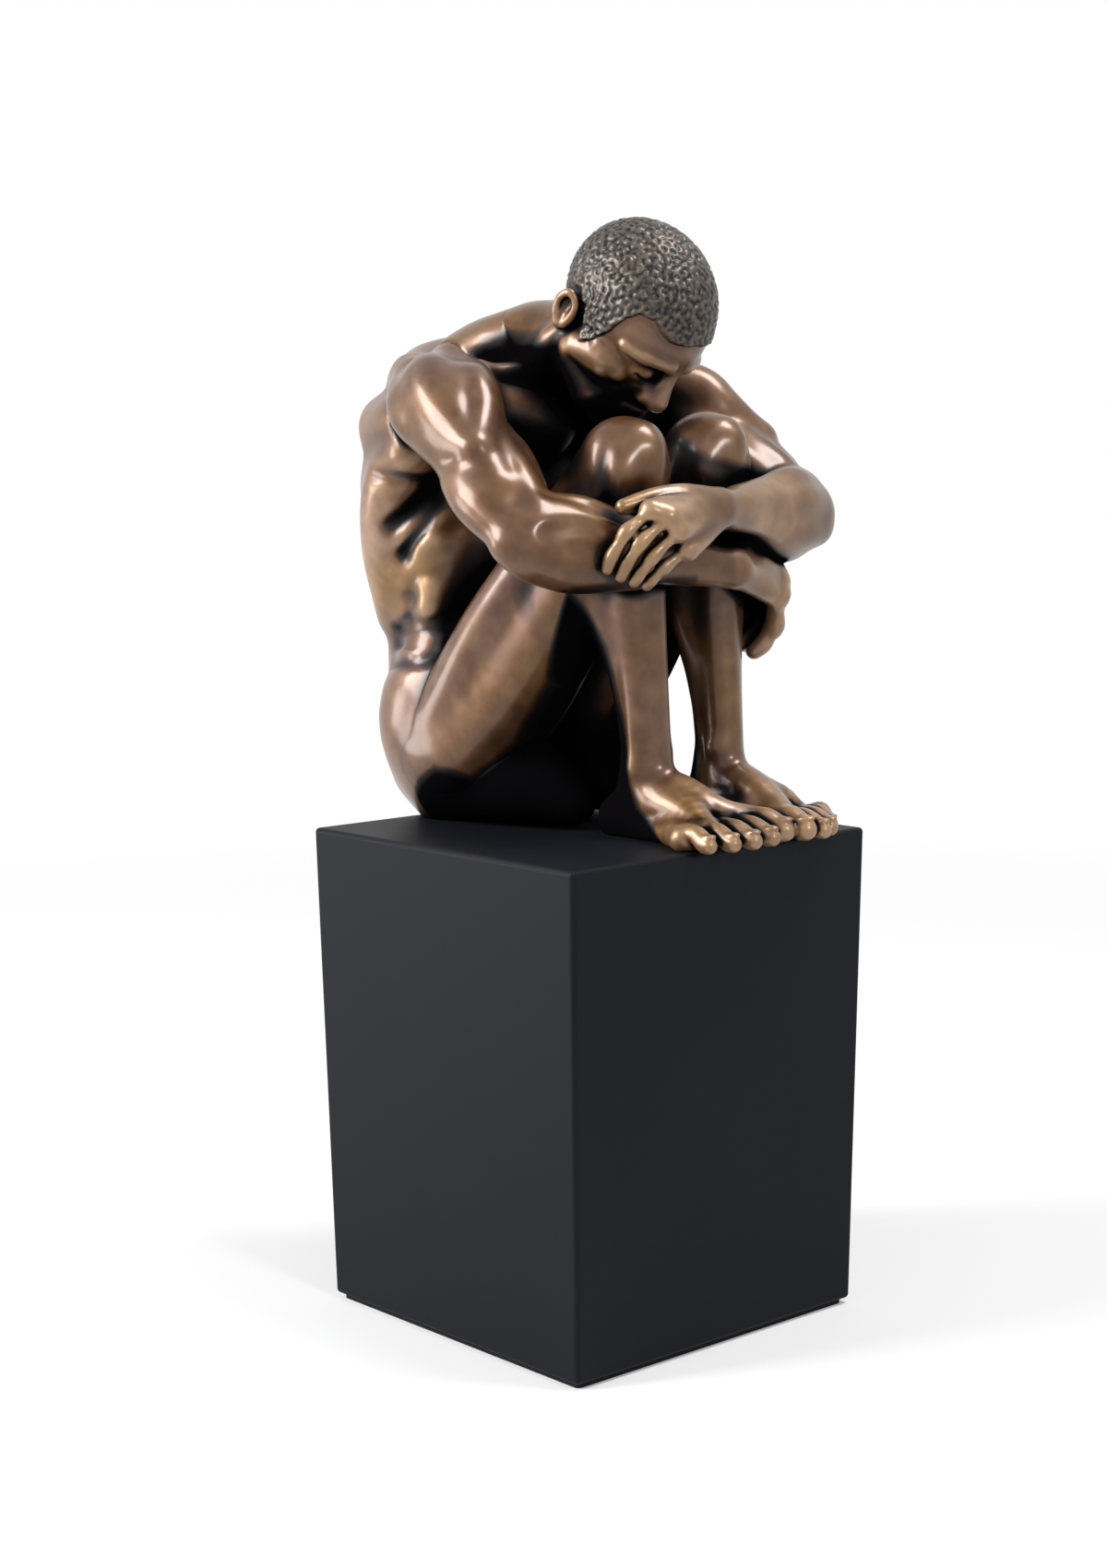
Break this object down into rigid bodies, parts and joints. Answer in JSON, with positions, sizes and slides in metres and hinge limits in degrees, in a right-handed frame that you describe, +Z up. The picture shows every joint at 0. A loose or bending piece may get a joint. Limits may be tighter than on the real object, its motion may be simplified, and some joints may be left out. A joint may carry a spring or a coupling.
{
  "type": "seated figure statue",
  "caption": "Seated nude male figure in patinated bronze, arms folded round the raised knees and head bowed, on a tall square black plinth.",
  "frame": {"origin": "centre of the felt pad's underside, where the plinth stands", "axes": "+Z up through the plinth, the figure faces -Y and its left side is towards +X"},
  "size_m": [0.1036, 0.1195, 0.2504],
  "materials": {
    "bronze": "polished antique bronze patina, dark in the hollows and golden where rubbed",
    "plinth_black": "satin black",
    "board": "dark stained board",
    "steel": "zinc plated",
    "felt": "black felt"
  },
  "bodies": {
    "root": {"torso": "bronze", "head": "bronze", "right_arm": "bronze", "left_arm": "bronze", "right_leg": "bronze", "left_leg": "bronze", "plinth_shell": "plinth_black", "base_board": "board", "felt_pad": "felt", "base_screw_1": "steel", "base_screw_2": "steel", "base_screw_3": "steel", "base_screw_4": "steel", "seat_stud": "steel", "seat_washer": "steel", "seat_nut": "steel", "right_foot_stud": "steel", "right_foot_washer": "steel", "right_foot_nut": "steel", "left_foot_stud": "steel", "left_foot_washer": "steel", "left_foot_nut": "steel", "neck_dowel": "steel", "right_shoulder_dowel": "steel", "left_shoulder_dowel": "steel", "right_hip_dowel": "steel", "left_hip_dowel": "steel"}
  },
  "joints": []
}
